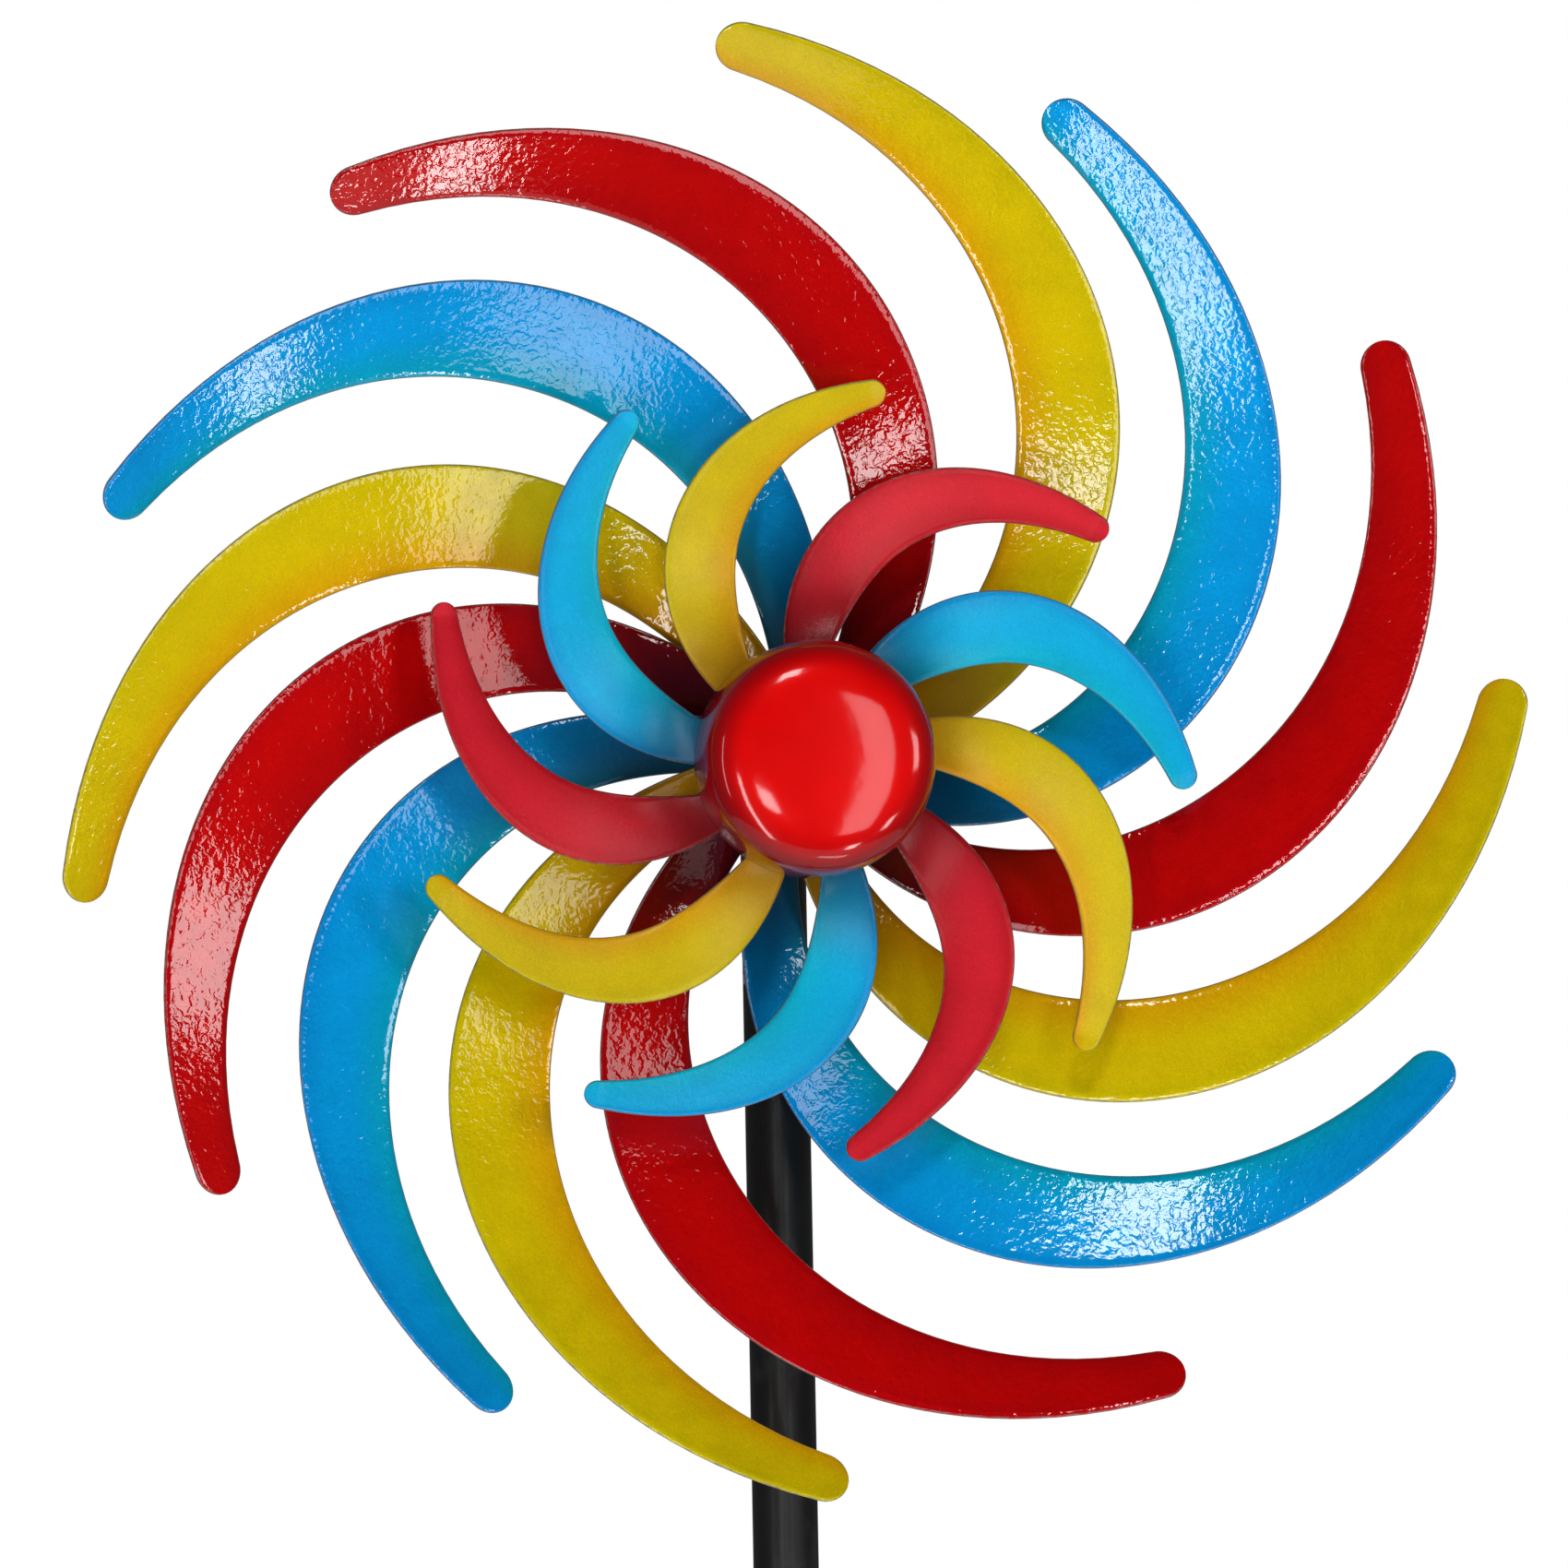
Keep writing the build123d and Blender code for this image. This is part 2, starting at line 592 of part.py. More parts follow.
def ribbon_middle(rotor, number, t):
    """The middle of a blade's ribbon at t; number counts the rotor's blades from 0."""
    tip_radius = rotor["tip_radius"] + rotor["reach"][number]
    turn = rotor["first_tip"] + 360 / len(rotor["lean"]) * number + rotor["lean"][number]
    radius = HUB_RADIUS + (tip_radius - HUB_RADIUS) * t
    angle = radians(turn + law(rotor["sweep"], t) + rotor["curl"][number] * (t**2 - 1))
    depth = rotor["plane"] + law(rotor["bend"], t)
    return Vector(radius * cos(angle), depth, HUB_HEIGHT + radius * sin(angle))


def ribbon_plane(rotor, number, t):
    """The plane across a blade's ribbon at t: X across the sheet, Z along the ribbon."""
    step = 0.001
    run = ribbon_middle(rotor, number, t + step) - ribbon_middle(rotor, number, t - step)
    length = hypot(run.X, run.Z)
    along = Vector(run.X / length, 0, run.Z / length)
    pitch = radians(law(rotor["pitch"], t))
    across = Vector(-along.Z * cos(pitch), sin(pitch), along.X * cos(pitch))
    return Plane(origin=ribbon_middle(rotor, number, t), x_dir=across, z_dir=along)


def blade(rotor, number):
    """One blade: a ribbon lofted through its stations, with a round tip, cut to the hub's curve."""
    count = rotor["stations"]
    tip_half = rotor["half"][-1]
    tip_plane = ribbon_plane(rotor, number, 1)
    flat_tip = Plane(origin=tip_plane.origin, x_dir=tip_plane.x_dir, z_dir=tip_plane.y_dir)
    with BuildPart() as ribbon:
        for k in range(count):
            t = (1 + ROOT_OVERRUN) * k / (count - 1) - ROOT_OVERRUN
            with BuildSketch(ribbon_plane(rotor, number, t)):
                Rectangle(2 * law(rotor["half"], t), SHEET)
        loft()
        with BuildSketch(flat_tip):
            with BuildLine():
                CenterArc((0, 0), tip_half, 180, 180)
                Line((-tip_half, 0), (tip_half, 0))
            make_face()
        extrude(amount=SHEET / 2, both=True)
        with BuildSketch(axle_plane(rotor["plane"] - 2 * HUB_LENGTH)):
            Circle(HUB_RADIUS)
        extrude(amount=4 * HUB_LENGTH, mode=Mode.SUBTRACT)
    return ribbon.part


for rotor in [REAR_ROTOR, FRONT_ROTOR]:
    name = rotor["name"]
    save(hub(rotor["plane"], screw_holes=rotor is FRONT_ROTOR), f"{name}_hub")
    for number in range(len(rotor["lean"])):
        save(blade(rotor, number), f"{name}_blade_{number + 1:02d}")

# ---- Domed cap, screwed to the front hub on a plate ----

with BuildPart() as cap_plate:
    with BuildSketch(axle_plane(CAP_PLATE_FRONT)):
        Circle(CAP_RADIUS - CAP_WALL - SLIP)
        Circle(BEARING_DIAMETER / 2, mode=Mode.SUBTRACT)
        with PolarLocations(CAP_SCREW_CIRCLE, CAP_SCREW_COUNT):
            Circle(CAP_SCREW_RADIUS + CAP_SCREW_CLEARANCE, mode=Mode.SUBTRACT)
    extrude(amount=CAP_PLATE)
save(cap_plate.part, "cap_plate")

with BuildPart() as cap_screws:
    with BuildSketch(axle_plane(CAP_PLATE_FRONT)):
        with PolarLocations(CAP_SCREW_CIRCLE, CAP_SCREW_COUNT):
            Circle(CAP_SCREW_RADIUS - SLIP)
    extrude(amount=CAP_PLATE + CAP_SCREW_LENGTH)
    with BuildSketch(axle_plane(CAP_PLATE_FRONT - CAP_SCREW_HEAD)):
        with PolarLocations(CAP_SCREW_CIRCLE, CAP_SCREW_COUNT):
            Circle(CAP_SCREW_HEAD_RADIUS)
    extrude(amount=CAP_SCREW_HEAD)
    chamfer(cap_screws.edges().group_by(Axis.Y)[0], CAP_SCREW_CHAMFER)
save(cap_screws.part, "cap_screws")


def cap_outline(inset):
    """Half of the cap's outline, pulled in by inset: a low dome that rounds over into a skirt."""
    side = CAP_RADIUS - inset
    skirt_end = CAP_RIM - CAP_SKIRT
    depth = CAP_DEPTH - CAP_SKIRT - inset
    dome = Bezier(
        *[(skirt_end - depth * rise, side * spread) for rise, spread in zip(CAP_RISE, CAP_SPREAD)]
    )
    Polyline(dome @ 1, (CAP_RIM, side), (CAP_RIM, 0), dome @ 0)


with BuildPart() as hub_cap:
    with BuildSketch(AXLE_SECTION):
        with BuildLine():
            cap_outline(0)
        make_face()
    revolve(axis=AXLE)
    with BuildSketch(AXLE_SECTION):
        with BuildLine():
            cap_outline(CAP_WALL)
        make_face()
    revolve(axis=AXLE, mode=Mode.SUBTRACT)
save(hub_cap.part, "hub_cap")
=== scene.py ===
import json
from math import comb, cos, pi, radians, sin

import bmesh
import bpy
from mathutils import Matrix, Vector


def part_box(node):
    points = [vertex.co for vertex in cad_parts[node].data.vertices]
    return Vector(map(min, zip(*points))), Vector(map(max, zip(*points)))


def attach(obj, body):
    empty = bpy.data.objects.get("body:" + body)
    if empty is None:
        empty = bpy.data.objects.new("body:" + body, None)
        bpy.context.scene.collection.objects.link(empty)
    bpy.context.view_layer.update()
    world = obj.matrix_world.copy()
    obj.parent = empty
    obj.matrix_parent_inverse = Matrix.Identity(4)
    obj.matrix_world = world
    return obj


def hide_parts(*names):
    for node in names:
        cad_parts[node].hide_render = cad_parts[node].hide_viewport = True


# A garden wind sculpture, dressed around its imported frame. Two rotors of curved sheet-steel blades
# turn opposite ways on one axle, behind a domed cap, on top of a black pole with a ground fork.
# The frame gives every place; sizes here are in metres, with the sculpture facing -Y.

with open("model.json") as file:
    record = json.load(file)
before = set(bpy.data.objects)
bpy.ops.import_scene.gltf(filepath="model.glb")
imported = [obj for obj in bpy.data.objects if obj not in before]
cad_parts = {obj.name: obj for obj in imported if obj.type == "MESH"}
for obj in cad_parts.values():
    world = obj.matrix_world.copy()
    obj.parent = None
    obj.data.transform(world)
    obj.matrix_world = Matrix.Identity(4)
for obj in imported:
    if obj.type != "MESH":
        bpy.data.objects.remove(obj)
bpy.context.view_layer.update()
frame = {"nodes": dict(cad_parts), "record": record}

MM = 0.001

# ---- Places read from the frame ----


def middle(node):
    """The middle of a CAD node's box."""
    low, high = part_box(node)
    return (low + high) / 2


def half_width(node):
    """Half of a CAD node's width from left to right."""
    low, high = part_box(node)
    return (high.x - low.x) / 2


AXLE_CENTRE = middle("rear_hub")
HUB_HEIGHT = AXLE_CENTRE.z
REAR_PLANE = AXLE_CENTRE.y
FRONT_PLANE = middle("front_hub").y
HUB_RADIUS = half_width("rear_hub")
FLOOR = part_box("ground_fork_yoke")[0].z

# ---- Blades: the same laws as the CAD source, in millimetres and degrees ----
# From the hub to the tip, sweep turns the middle line round the axle, half is half the width, pitch
# tilts the sheet and bend moves it along the axle; each list holds a Bezier curve's control values.
# Blade by blade, lean turns it round the axle, reach lengthens it and curl winds its root back.

REAR_ROTOR = {
    "name": "rear",
    "plane": REAR_PLANE,
    "tip_radius": 205.0,
    "sweep": [-78.0, -67.5, -59.0, -44.0, -31.0, 0.0],
    "half": [8.8, 10.6, 12.0, 21.2, 13.3, 7.6],
    "pitch": [34.6, -11.4, 10.4, 28.0],
    "bend": [0.0, 23.0, -2.0, -15.0],
    "first_tip": 34.7,
    "lean": [-1.5, 1.5, -1.0, 2.5, 3.0, 3.5, -1.0, -2.5, -4.0, -5.0, -1.5, -0.5],
    "reach": [1.5, -4.5, 1.0, 1.5, 1.5, 1.5, -2.5, -6.5, -2.0, -2.5, -2.0, 0.5],
    "curl": [-1.5, 5.0, -1.0, -0.5, -1.5, -3.0, -1.5, 0.0, -1.5, 0.5, -0.5, 0.0],
    "colours": ["red", "blue", "yellow"],
    "inner_side": 1,
}
FRONT_ROTOR = {
    "name": "front",
    "plane": FRONT_PLANE,
    "tip_radius": 110.5,
    "sweep": [54.5, 50.0, 42.5, 40.0, 19.5, 0.0],
    "half": [4.4, 8.6, 11.7, 12.3, 8.6, 4.1],
    "pitch": [24.3, -1.3, -19.7, -11.3],
    "bend": [0.0, 12.6, -4.3, 7.2],
    "first_tip": 37.2,
    "lean": [0.5, 1.0, -0.5, 0.0, 1.0, 0.0, 0.5, -1.5, 0.5],
    "reach": [-1.5, -2.5, -1.5, 0.0, -0.5, 0.5, 0.0, 2.5, 0.0],
    "curl": [1.5, 0.5, -0.5, 1.5, 1.5, 0.0, -0.5, -2.5, 1.0],
    "colours": ["red", "yellow", "blue"],
    "inner_side": -1,
}
SHEET = 1.2
WELD_DEPTH = 0.2  # how far a blade's root goes into its hub
STATIONS = 72  # rows of faces along a blade
TIP_STATIONS = 9  # rows round its tip
FLAT_STEPS = 12  # columns across each face of the sheet
EDGE_STEPS = 4  # columns round each edge
SIDE_STEPS = FLAT_STEPS + EDGE_STEPS

# ---- Camera, light and floor ----

VIEW_AZIMUTH = -8.6
VIEW_ELEVATION = -2.9
VIEW_ROLL = -1.05
VIEW_DISTANCE = 2.635
VIEW_LENS = 211.0  # on a 36 mm sensor
VIEW_SHIFT = (-2.64 * MM, -4.92 * MM)  # how far the aim is right of and above the rear hub's middle
GLOW_FROM = (0.0, -0.94, 0.34)
MATT_GLOW = (0.50, 0.80)  # behind, in front
SHINY_GLOW = (0.10, 0.004)
FLOOR_RADIUS = 1.7
FLOOR_SIDES = 128

# Degrees right of the rotors' front and above level, then distance, width, height and watts
SOFTBOXES = {
    "far_left_strip": (-52, -2, 1.5, 0.06, 0.85, 1.6),
    "left_low_strip": (-20.5, -20, 1.5, 0.11, 0.90, 4.0),
    "top_left_box": (-2, 28.6, 1.42, 0.18, 0.16, 1.6),
    "camera_side_box": (-3.5, -6, 3.2, 0.32, 0.32, 4),
    "right_softbox": (16.7, -2, 1.5, 0.25, 0.80, 2.6),
    "right_low_box": (23, -34.5, 1.36, 0.10, 0.14, 0.8),
    "low_bounce_box": (20, -54, 1.2, 0.30, 0.10, 0.55),
    "right_wide_box": (35, -21.5, 1.37, 0.12, 0.16, 0.8),
    "far_right_box": (44, 4, 1.4, 0.24, 0.30, 1.9),
}


def make_camera():
    """The camera, low and a little left of the front, aimed close to the rear hub."""
    azimuth = radians(VIEW_AZIMUTH)
    elevation = radians(VIEW_ELEVATION)
    back = Vector((sin(azimuth) * cos(elevation), -cos(azimuth) * cos(elevation), sin(elevation)))
    right = (-back).cross(Vector((0, 0, 1))).normalized()
    up = right.cross(-back)
    roll = Matrix.Rotation(radians(VIEW_ROLL), 3, back)
    right = roll @ right
    up = roll @ up
    aim = AXLE_CENTRE + right * VIEW_SHIFT[0] + up * VIEW_SHIFT[1]
    data = bpy.data.cameras.new("camera")
    data.lens = VIEW_LENS
    data.sensor_width = 36.0
    data.clip_end = 100.0
    camera = bpy.data.objects.new("camera", data)
    turn = Matrix((right, up, back)).transposed().to_4x4()
    camera.matrix_world = Matrix.Translation(aim + back * VIEW_DISTANCE) @ turn
    bpy.context.scene.collection.objects.link(camera)
    bpy.context.scene.camera = camera


def make_softbox(name, azimuth, elevation, distance, width, height, power):
    """A rectangular light that faces the rotors, azimuth degrees right of their front."""
    side = radians(azimuth)
    lift = radians(elevation)
    away = Vector((sin(side) * cos(lift), -cos(side) * cos(lift), sin(lift)))
    data = bpy.data.lights.new(name, "AREA")
    data.shape = "RECTANGLE"
    data.size = width
    data.size_y = height
    data.energy = power
    light = bpy.data.objects.new(name, data)
    light.location = AXLE_CENTRE + away * distance
    light.rotation_euler = away.to_track_quat("Z", "Y").to_euler()
    bpy.context.scene.collection.objects.link(light)


class Nodes:
    """A node tree in the making: adds nodes and joins them."""

    def __init__(self, tree):
        self.tree = tree

    def add(self, kind, inputs=None, **settings):
        """A node with its settings, and its inputs given as values or as other nodes' outputs."""
        node = self.tree.nodes.new(kind)
        for key, value in settings.items():
            setattr(node, key, value)
        for key, value in (inputs or {}).items():
            self.feed(node.inputs[key], value)
        return node

    def feed(self, socket, value):
        """Join an output to a socket, or set its value."""
        if isinstance(value, bpy.types.NodeSocket):
            self.tree.links.new(value, socket)
        else:
            socket.default_value = value

    def math(self, operation, a, b=0.0):
        """One operation on numbers."""
        return self.add("ShaderNodeMath", {0: a, 1: b}, operation=operation).outputs[0]

    def plus(self, a, b):
        """The sum of two numbers."""
        return self.math("ADD", a, b)

    def minus(self, a, b):
        """The first number less the second."""
        return self.math("SUBTRACT", a, b)

    def times(self, a, b):
        """The product of two numbers."""
        return self.math("MULTIPLY", a, b)

    def spread(self, value, low, high, out_low=0.0, out_high=1.0):
        """value taken smoothly from low..high to out_low..out_high, and held at the ends."""
        inputs = {
            "Value": value,
            "From Min": low,
            "From Max": high,
            "To Min": out_low,
            "To Max": out_high,
        }
        node = self.add("ShaderNodeMapRange", inputs, interpolation_type="SMOOTHSTEP")
        return node.outputs["Result"]


class Sky(Nodes):
    """The world: white behind the object, an even glow from in front for matt surfaces, and for
    shiny ones a dark room that is lit only by the softboxes and a little from behind."""

    def __init__(self):
        world = bpy.data.worlds.new("studio")
        bpy.context.scene.world = world
        world.use_nodes = True
        super().__init__(world.node_tree)
        self.tree.nodes.clear()
        way = self.add("ShaderNodeTexCoord").outputs["Generated"]
        toward = self.add("ShaderNodeVectorMath", {0: way, 1: GLOW_FROM}, operation="DOT_PRODUCT")
        facing = toward.outputs["Value"]
        path = self.add("ShaderNodeLightPath").outputs
        matt = self.white(self.spread(facing, -0.1, 1.0, *MATT_GLOW))
        shiny = self.white(self.spread(facing, -0.1, 1.0, *SHINY_GLOW))
        lit = self.either(path["Is Glossy Ray"], matt, shiny)
        both = self.either(path["Is Camera Ray"], lit, self.white(1.0))
        self.add("ShaderNodeOutputWorld", {"Surface": both})

    def white(self, strength):
        """A white background."""
        inputs = {"Color": (1, 1, 1, 1), "Strength": strength}
        return self.add("ShaderNodeBackground", inputs).outputs[0]

    def either(self, factor, first, second):
        """The first shader where factor is 0, and the second where it is 1."""
        return self.add("ShaderNodeMixShader", {0: factor, 1: first, 2: second}).outputs[0]


make_camera()
Sky()
for name, values in SOFTBOXES.items():
    make_softbox(name, *values)
bpy.context.scene.view_settings.view_transform = "Standard"

# ---- Materials ----


class Finish(Nodes):
    """A material in the making, which ends in one Principled shader."""

    def __init__(self, name):
        self.material = bpy.data.materials.new(name)
        self.material.use_nodes = True
        super().__init__(self.material.node_tree)
        self.tree.nodes.clear()
        output = self.tree.nodes.new("ShaderNodeOutputMaterial")
        self.shader = self.tree.nodes.new("ShaderNodeBsdfPrincipled")
        self.tree.links.new(self.shader.outputs[0], output.inputs["Surface"])
        self.place = self.tree.nodes.new("ShaderNodeTexCoord").outputs["Object"]

    def set(self, **values):
        """Values on the shader's own sockets, named with underscores for spaces."""
        for key, value in values.items():
            self.feed(self.shader.inputs[key.replace("_", " ")], value)

    def attribute(self, name):
        """A number stored on the piece's points."""
        return self.add("ShaderNodeAttribute", attribute_name=name).outputs["Fac"]

    def noise(self, scale, detail=2.0, roughness=0.5, distortion=0.0, place=None):
        """A cloud noise from 0 to 1; scale is in features per metre."""
        inputs = {
            "Vector": place or self.place,
            "Scale": scale,
            "Detail": detail,
            "Roughness": roughness,
            "Distortion": distortion,
        }
        return self.add("ShaderNodeTexNoise", inputs).outputs["Fac"]

    def mottle(self, scale, low, high, detail=2.0, roughness=0.5):
        """A number that drifts from low to high in clouds."""
        return self.spread(self.noise(scale, detail, roughness), 0.3, 0.7, low, high)

    def stretched(self, x, y, z):
        """Object coordinates with each axis scaled."""
        return self.add("ShaderNodeMapping", {"Vector": self.place, "Scale": (x, y, z)}).outputs[0]

    def blend(self, factor, first, second, kind="MIX"):
        """first with second mixed in by factor."""
        node = self.add("ShaderNodeMix", data_type="RGBA", blend_type=kind)
        self.feed(node.inputs["Factor"], factor)
        self.feed(node.inputs[6], first)
        self.feed(node.inputs[7], second)
        return node.outputs[2]

    def bump(self, height, depth):
        """A normal that follows height, whose full range is depth in metres."""
        node = self.add("ShaderNodeBump", {"Height": height, "Distance": depth, "Strength": 1.0})
        return node.outputs["Normal"]


def colour(red, green, blue):
    """A linear colour from the 0..255 values of a paint chart."""

    def linear(value):
        share = value / 255
        return share / 12.92 if share <= 0.04045 else ((share + 0.055) / 1.055) ** 2.4

    return (linear(red), linear(green), linear(blue), 1.0)


# Candy paints, blended from the body's colour to the others. A share is how much of the inner
# edge's, the outer edge's or the root's colour shows. The root's colour is painted shade, darker
# towards the hub where the front rotor and cap shade the blades; the root end is how far out along
# the blade the painted shade has gone.
PAINT = {"outer_share": 0.6, "root_shade_share": 0.85, "root_shade_end": 0.40, "metal": 0.45}
REAR_PAINTS = {
    "red": dict(
        PAINT,
        body=colour(182, 0, 1),
        inner=colour(150, 0, 6),
        outer=colour(158, 0, 12),
        root=colour(58, 0, 4),
        inner_share=0.5,
    ),
    "blue": dict(
        PAINT,
        body=colour(0, 144, 210),
        inner=colour(0, 150, 168),
        outer=colour(0, 120, 194),
        root=colour(0, 52, 84),
        inner_share=0.75,
    ),
    "yellow": dict(
        PAINT,
        body=colour(204, 178, 0),
        inner=colour(208, 142, 0),
        outer=colour(184, 174, 0),
        root=colour(160, 104, 0),
        inner_share=0.7,
    ),
}
FRONT_PAINTS = {
    # The front red is pinker than the rear red: partly the satin paint's own tone, partly a painted
    # pink sheen.
    "red": dict(
        REAR_PAINTS["red"],
        body=colour(202, 26, 42),
        root=colour(96, 0, 6),
        root_shade_end=0.55,
    ),
    "blue": dict(
        REAR_PAINTS["blue"],
        body=colour(0, 164, 212),
        inner=colour(0, 168, 190),
        root_shade_end=0.45,
    ),
    "yellow": dict(
        REAR_PAINTS["yellow"],
        body=colour(200, 174, 0),
        outer=colour(184, 170, 0),
        root_shade_end=0.45,
    ),
}
STEEL_EDGE = colour(120, 116, 110)

# Lacquers: the peel's lumps per metre and depth, the paint's roughness, and the clear coat's
# roughness and weight
HAMMERED = {"lumps": 470, "depth": 0.14 * MM, "base": 0.38, "coat": 0.04, "weight": 1.0}
SATIN = {"lumps": 620, "depth": 0.06 * MM, "base": 0.44, "coat": 0.24, "weight": 0.32}


def blade_enamel(name, paint, lacquer):
    """Candy enamel sprayed in bands over steel sheet: its colour shades from the inner edge to the
    outer one and darkens towards the hub as painted shade, its surface has the peel of the lacquer,
    and the paint is thin on the sheet's cut edge."""
    f = Finish(name)
    wander = f.times(f.minus(f.noise(16), 0.5), 0.12)
    across = f.plus(f.attribute("across"), wander)
    inner = f.spread(across, 0.55, 0.0, 0.0, paint["inner_share"])
    outer = f.spread(across, 0.70, 1.05, 0.0, paint["outer_share"])
    # Painted shade: the colour darkens to the root's colour towards the hub, where the blades sit in
    # shade.
    root = f.spread(f.attribute("along"), paint["root_shade_end"], 0.10, 0.0, paint["root_shade_share"])
    body = f.blend(inner, paint["body"], paint["inner"])
    body = f.blend(outer, body, paint["outer"])
    body = f.blend(root, body, paint["root"])
    clouds = f.mottle(55, 0.95, 1.04, 3.0, 0.6)
    flakes = f.spread(f.noise(2600, 1.0, 0.6), 0.35, 0.75, 0.90, 1.12)
    body = f.blend(1.0, body, f.times(clouds, flakes), "MULTIPLY")
    thin = f.spread(f.noise(420, 3.0, 0.7), 0.46, 0.62, 0.25, 1.0)
    worn = f.times(f.attribute("rim"), thin)
    grain = f.noise(lacquer["lumps"], 1.6, 0.55, 0.5)
    coarse = f.noise(lacquer["lumps"] * 0.28, 1.0)
    normal = f.bump(f.plus(f.times(grain, 0.72), f.times(coarse, 0.28)), lacquer["depth"])
    f.set(
        Base_Color=f.blend(worn, body, STEEL_EDGE),
        Metallic=paint["metal"],
        Roughness=f.mottle(140, lacquer["base"] - 0.04, lacquer["base"] + 0.05),
        Normal=normal,
        Specular_IOR_Level=0.04,
        Coat_Weight=lacquer["weight"],
        Coat_Roughness=lacquer["coat"],
        Coat_IOR=1.48,
        Coat_Normal=normal,
    )
    return f.material


def cap_enamel():
    """Poured gloss red, with painted shade that darkens it to maroon towards the rim."""
    f = Finish("cap_gloss_enamel")
    # Painted shade: the red darkens towards the cap's rim.
    rim_painted_shade = f.spread(f.attribute("ring"), 0.66, 1.0, 0.0, 0.8)
    paint = f.blend(rim_painted_shade, colour(202, 0, 0), colour(70, 0, 8))
    normal = f.bump(f.noise(260, 1.5), 0.022 * MM)
    f.set(
        Base_Color=f.blend(1.0, paint, f.mottle(60, 0.94, 1.05), "MULTIPLY"),
        Metallic=0.15,
        Roughness=f.mottle(90, 0.30, 0.36, 3.0),
        Normal=normal,
        Specular_IOR_Level=0.04,
        Coat_Weight=1.0,
        Coat_Roughness=0.08,
        Coat_IOR=1.42,
        Coat_Normal=normal,
    )
    return f.material


def black_enamel():
    """Black enamel on tube: satin, with a fine orange peel and a few dull rubs."""
    f = Finish("black_pole_enamel")
    rubs = f.spread(f.noise(38, 4.0, 0.65), 0.56, 0.72)
    normal = f.bump(f.noise(850, 1.5), 0.04 * MM)
    f.set(
        Base_Color=f.blend(f.times(rubs, 0.5), colour(16, 17, 17), colour(40, 41, 42)),
        Roughness=f.plus(f.mottle(120, 0.38, 0.48), f.times(rubs, 0.15)),
        Normal=normal,
        Specular_IOR_Level=0.25,
        Coat_Weight=0.12,
        Coat_Roughness=0.25,
        Coat_Normal=normal,
    )
    return f.material


def zinc_steel():
    """Bright zinc plate with a faint blue and straw bloom and fine turning marks."""
    f = Finish("zinc_plated_steel")
    bloom = f.spread(f.noise(150), 0.35, 0.65)
    tint = f.blend(bloom, colour(196, 200, 206), colour(206, 200, 182))
    dust = f.spread(f.noise(700, 3.0, 0.7), 0.45, 0.75, 1.0, 0.8)
    f.set(
        Base_Color=f.blend(1.0, tint, dust, "MULTIPLY"),
        Metallic=1.0,
        Roughness=f.mottle(900, 0.26, 0.42),
        Normal=f.bump(f.noise(1800, place=f.stretched(1, 0.3, 1)), 0.01 * MM),
    )
    return f.material


def bearing_steel():
    """Ground bearing steel with a light film of oil."""
    f = Finish("bearing_ground_steel")
    film = f.spread(f.noise(260), 0.4, 0.65)
    f.set(
        Base_Color=f.blend(film, colour(205, 206, 208), colour(170, 168, 160)),
        Metallic=1.0,
        Roughness=f.mottle(1200, 0.12, 0.26),
        Normal=f.bump(f.noise(2600, 1.0), 0.004 * MM),
    )
    return f.material


def black_nylon():
    """Moulded black nylon with a fine spark grain."""
    f = Finish("black_moulded_nylon")
    bloom = f.spread(f.noise(80), 0.4, 0.7)
    f.set(
        Base_Color=f.blend(bloom, colour(26, 26, 27), colour(38, 38, 39)),
        Roughness=f.mottle(500, 0.5, 0.64),
        Normal=f.bump(f.noise(1500), 0.04 * MM),
    )
    return f.material


def floor_paper():
    """Pale matt paper."""
    f = Finish("floor_paper")
    f.set(
        Base_Color=f.blend(f.noise(3), colour(246, 246, 246), colour(240, 240, 241)),
        Roughness=0.9,
        Normal=f.bump(f.noise(300), 0.2 * MM),
    )
    return f.material


REAR_ENAMEL = {
    key: blade_enamel(f"{key}_hammered_enamel", paint, HAMMERED)
    for key, paint in REAR_PAINTS.items()
}
FRONT_ENAMEL = {
    key: blade_enamel(f"{key}_satin_enamel", paint, SATIN)
    for key, paint in FRONT_PAINTS.items()
}
CAP_ENAMEL = cap_enamel()
BLACK_ENAMEL = black_enamel()
ZINC_STEEL = zinc_steel()
BEARING_STEEL = bearing_steel()
BLACK_NYLON = black_nylon()

# ---- Making pieces ----


def finished(name, mesh, material, sharp):
    """An object with smooth faces, sharp where they meet at more than sharp degrees."""
    work = bmesh.new()
    work.from_mesh(mesh)
    bmesh.ops.remove_doubles(work, verts=work.verts, dist=1e-7)
    bmesh.ops.recalc_face_normals(work, faces=work.faces)
    work.to_mesh(mesh)
    work.free()
    mesh.shade_smooth()
    mesh.set_sharp_from_angle(angle=radians(sharp))
    mesh.materials.clear()
    mesh.materials.append(material)
    piece = bpy.data.objects.new(name, mesh)
    bpy.context.scene.collection.objects.link(piece)
    return piece


def put(piece, body, node):
    """The piece rides on a body and stands for a CAD node."""
    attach(piece, body)
    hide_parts(node)


# ---- Blades ----


